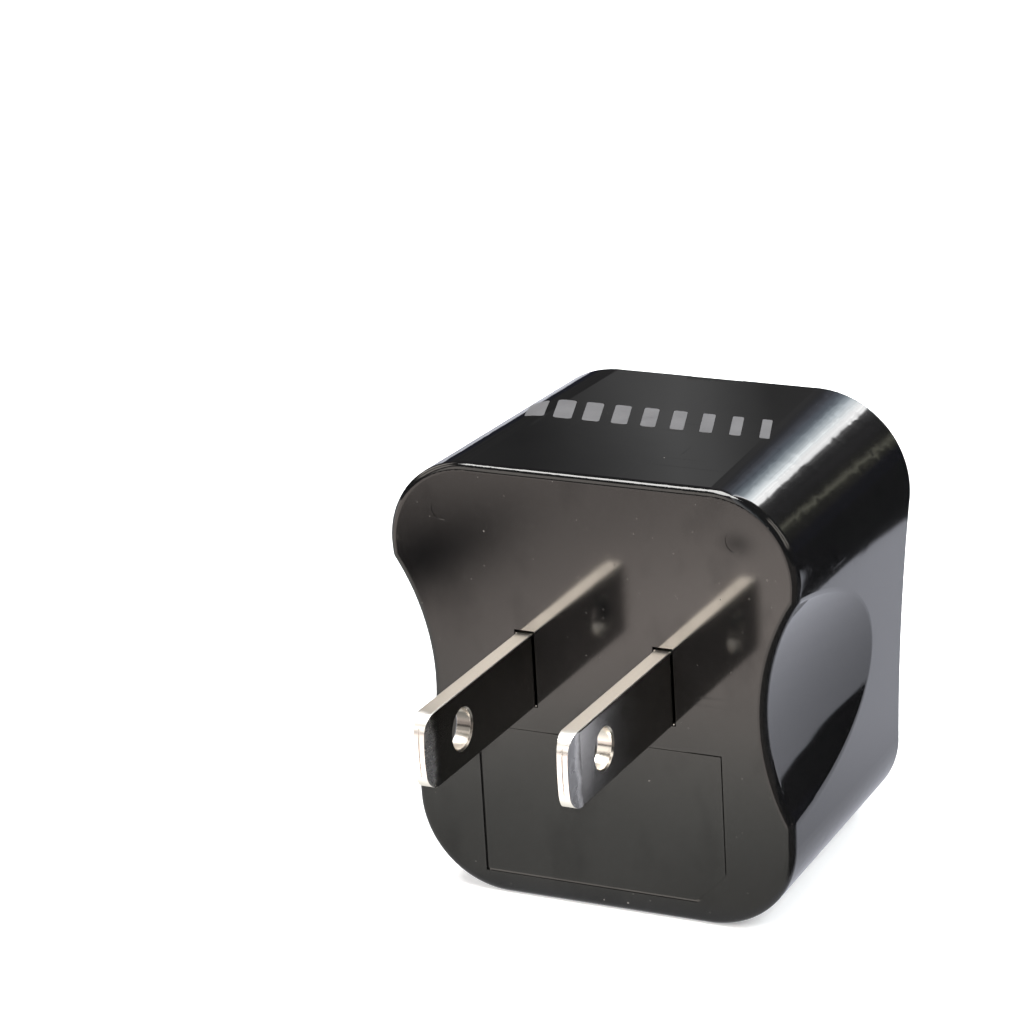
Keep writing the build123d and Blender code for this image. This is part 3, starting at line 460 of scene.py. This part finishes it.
def bar_outline(index):
    pitch = (MOTIF_X[1] - MOTIF_X[0]) / BARS
    width = pitch * (FIRST_FILL - FILL_STEP * index)
    centre = MOTIF_X[0] + pitch * (index + 0.5)
    left, right = centre - width / 2, centre + width / 2
    low, high = MOTIF_Y
    lean = BAR_SLANT / 2
    corners = [Vector(c) for c in ((left + lean, low), (right + lean, low),
                                   (right - lean, high), (left - lean, high))]
    radius = min(width, high - low) * CORNER_SHARE
    outline = []
    for i, corner in enumerate(corners):
        back = (corners[i - 1] - corner).normalized() * radius
        ahead = (corners[(i + 1) % 4] - corner).normalized() * radius
        for step in range(CORNER_STEPS + 1):
            t = step / CORNER_STEPS
            outline.append(corner + back * (1 - t) ** 2 + ahead * t ** 2)
    return outline


def ink_motif(ink):
    shell = NODES["housing_shell"]
    wall = BVHTree.FromPolygons([shell.matrix_world @ v.co for v in shell.data.vertices],
                                [tuple(f.vertices) for f in shell.data.polygons])
    bm = bmesh.new()
    for i in range(BARS):
        bm.faces.new([bm.verts.new((p.x, p.y, 0.0)) for p in bar_outline(i)])
    for i in range(int((MOTIF_X[1] - MOTIF_X[0]) / STRIP) + 2):
        bmesh.ops.bisect_plane(bm, geom=bm.verts[:] + bm.edges[:] + bm.faces[:], dist=1e-7,
                               plane_co=(MOTIF_X[0] - 2 * STRIP + i * STRIP, 0, 0),
                               plane_no=(1, 0, 0))
    # drop the film onto the wall from above, then thicken it downwards
    for vert in bm.verts:
        hit = wall.ray_cast(Vector((vert.co.x, vert.co.y, 0.05)), Vector((0, 0, -1)))
        vert.co.z = hit[0].z + FILM_LIFT
    lower = bmesh.ops.extrude_face_region(bm, geom=bm.faces[:])["geom"]
    bmesh.ops.translate(bm, verts=[g for g in lower if isinstance(g, bmesh.types.BMVert)],
                        vec=(0, 0, -FILM_DEPTH))
    bmesh.ops.recalc_face_normals(bm, faces=bm.faces)
    mesh = bpy.data.meshes.new("printed_motif")
    bm.to_mesh(mesh)
    bm.free()
    motif = add_object("printed_motif", mesh)
    mesh.materials.append(ink)
    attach(motif, "adapter_body")


ink_motif(print_ink())


# ---------------------------------------------------------------------------
# floor and lamps
# ---------------------------------------------------------------------------
def add_floor(reach=1.6, rear=0.75):
    material = floor_with_painted_light()
    mesh = bpy.data.meshes.new("floor")
    corners = ((-reach, -reach), (reach, -reach), (reach, rear), (-reach, rear))
    mesh.from_pydata([Vector((x, y, FLOOR_Z)) for x, y in corners], [], [(0, 1, 2, 3)])
    floor = add_object("floor", mesh)
    mesh.materials.append(material)


def area(name, place, target, size, power, colour):
    lamp = bpy.data.lights.new(name, "AREA")
    lamp.shape = "RECTANGLE"
    lamp.size, lamp.size_y = size
    lamp.energy = power
    lamp.color = colour
    obj = add_object(name, lamp)
    obj.location = place
    aim = Vector(target) - Vector(place)
    obj.rotation_euler = aim.to_track_quat("-Z", "Y").to_euler()
    return obj


def polar(azimuth, elevation, distance):
    """Point at an azimuth from +y towards +x and an elevation, both in degrees."""
    a, e = math.radians(azimuth), math.radians(elevation)
    return (distance * math.sin(a) * math.cos(e), distance * math.cos(a) * math.cos(e),
            distance * math.sin(e))


add_floor()
area("overhead", place=(-0.16, -0.10, 0.72), target=(0, 0.02, 0), size=(0.50, 0.36),
     power=8.0, colour=(1.0, 0.985, 0.96))
# fills, unseen in mirrors: name, place, target, size, power, colour
for fill in (
        ("front_fill", polar(-150, 34, 0.95), (-0.05, -0.09, FLOOR_Z), (0.40, 0.30), 5.0,
         (1.0, 0.97, 0.94)),
        ("right_fill", polar(78, 42, 0.85), (0.07, 0.05, FLOOR_Z), (0.40, 0.40), 6.0,
         (0.95, 0.98, 1.0)),
        ("rear_fill", polar(14, 34, 0.95), (0.015, 0.04, 0.0), (0.40, 0.30), 4.0,
         (1.0, 1.0, 1.0))):
    area(*fill).visible_glossy = False


# ---------------------------------------------------------------------------
# world: a mirror environment for glossy rays, a dim fill and a white backdrop
# ---------------------------------------------------------------------------
STRIP_PEAK = 8.0
STRIP_REACH = 60.0
# azimuth from the y axis in degrees, level or colour: a broad soft strip that ends
# sharply on one side, with a thin upright strip on either side of it
STRIP_TONES = [
    (-60, 0.05), (-32, 0.035), (-27.2, 0.045), (-26.5, 0.10), (-25.7, 0.21),
    (-24.7, 0.36), (-24.1, 0.24), (-23.6, 0.08), (-22.5, 0.09), (-20, (0.11, 0.11, 0.115)),
    (-17, (0.14, 0.15, 0.18)), (-14, (0.28, 0.30, 0.36)), (-11, (0.48, 0.56, 0.68)),
    (-8, (0.86, 1.0, 1.16)), (-5, (1.75, 2.0, 2.2)), (-1.6, (3.5, 3.8, 4.0)),
    (1.5, (6.2, 6.5, 6.6)), (4.0, 8.0), (6.9, 8.0), (8.2, 0.7), (10.5, 0.22),
    (14, 0.11), (18, 0.07), (21.0, (0.07, 0.07, 0.055)), (21.9, (0.30, 0.30, 0.23)),
    (22.4, (0.72, 0.72, 0.57)), (22.9, (0.28, 0.28, 0.21)), (24, (0.07, 0.07, 0.055)),
    (28, 0.040), (60, 0.03)]


def strip_stops():
    """Strip tones as ramp stops, with position and level in 0..1."""
    stops = []
    for angle, tone in STRIP_TONES:
        colour = tone if isinstance(tone, tuple) else (tone,) * 3
        stops.append(((angle + STRIP_REACH) / (2 * STRIP_REACH),
                      tuple(c / STRIP_PEAK for c in colour)))
    return stops


def window(value, rise, fall):
    """1 between two soft flanks, 0 outside."""
    return value.remap(rise, smooth=True) * value.remap(fall, to=(1.0, 0.0), smooth=True)


def studio_world():
    world = bpy.data.worlds.new("studio")
    bpy.context.scene.world = world
    world.use_nodes = True
    sky = Graph(world.node_tree)
    degrees = 180 / math.pi
    direction = sky.field("TexCoord", out="Generated")
    x, y, z = sky.split(direction)
    elevation = sky.math("ARCSINE", z)
    azimuth = sky.math("ARCTAN2", x, y)
    # the rear half of the azimuth, repeated in front by a half turn
    folded = sky.math("ARCTAN2", x * sky.math("SIGN", y), abs(y)) * degrees
    elevation = elevation * degrees

    strips = sky.ramp(folded.remap((-STRIP_REACH, STRIP_REACH)), strip_stops())
    above = elevation.remap((3.0, 7.0), smooth=True)
    strips = sky.mix((0.0022, 0.0024, 0.0040), strips, amount=above)
    # the studio in front is much dimmer, except in mirror images of mirror images
    rays = sky.fields("LightPath")
    again = sky.math("GREATER_THAN", rays["Ray Depth"], 2.5)
    dimming = y.remap((-0.10, 0.10), to=(0.80, 0.0), smooth=True) * (1.0 - again)
    strips = sky.mix(strips, (0.0035, 0.0035, 0.0035), amount=dimming)
    sheen = sky.field("TexNoise", {"Vector": direction, "Scale": 26.0, "Detail": 3.0})
    sheen = sheen.remap(MID, to=(0.78, 1.2), smooth=True)

    # large soft box low in front on the left, a weaker one to each side
    left_box = window(azimuth, rise=(math.radians(-176), math.radians(-166)),
                      fall=(math.radians(-138), math.radians(-126)))
    left_box = left_box * window(elevation, rise=(6.0, 14.0), fall=(34.0, 44.0))
    side_box = window(abs(folded), rise=(58.0, 64.0), fall=(80.0, 86.0))
    side_box = side_box * window(elevation, rise=(14.0, 20.0), fall=(44.0, 52.0))
    boxes = left_box * (2.0 + again * 17.0) + side_box * 2.4

    def background(colour, strength):
        return sky.field("Background", {"Color": colour, "Strength": strength})

    mirrored = sky.field("AddShader", {0: background(strips, sheen * STRIP_PEAK),
                                       1: background((1.0, 0.93, 0.85), boxes)})
    fill = background((0.96, 0.98, 1.0), 0.30)
    backdrop = background((1, 1, 1), 1.0)
    unseen = sky.field("MixShader", {0: rays["Is Glossy Ray"], 1: fill, 2: mirrored})
    seen = sky.field("MixShader", {0: rays["Is Camera Ray"], 1: unseen, 2: backdrop})
    sky.node("OutputWorld", {"Surface": seen})


studio_world()

# ---------------------------------------------------------------------------
# camera
# ---------------------------------------------------------------------------
lens = bpy.data.cameras.new("camera")
lens.sensor_width = 36.0
lens.sensor_fit = "HORIZONTAL"
lens.lens = 140.9227
lens.clip_start = 0.01
lens.clip_end = 20
camera = add_object("camera", lens)
# columns: right, up, backwards, place
camera.matrix_world = Matrix((
    (0.895116, -0.101107, 0.434218, 0.137350472),
    (0.442308, 0.323629, -0.836437, -0.277675021),
    (-0.055955, 0.940766, 0.334406, 0.125020353),
    (0, 0, 0, 1)))

scene = bpy.context.scene
scene.camera = camera
scene.view_settings.view_transform = "Standard"
scene.view_settings.look = "None"
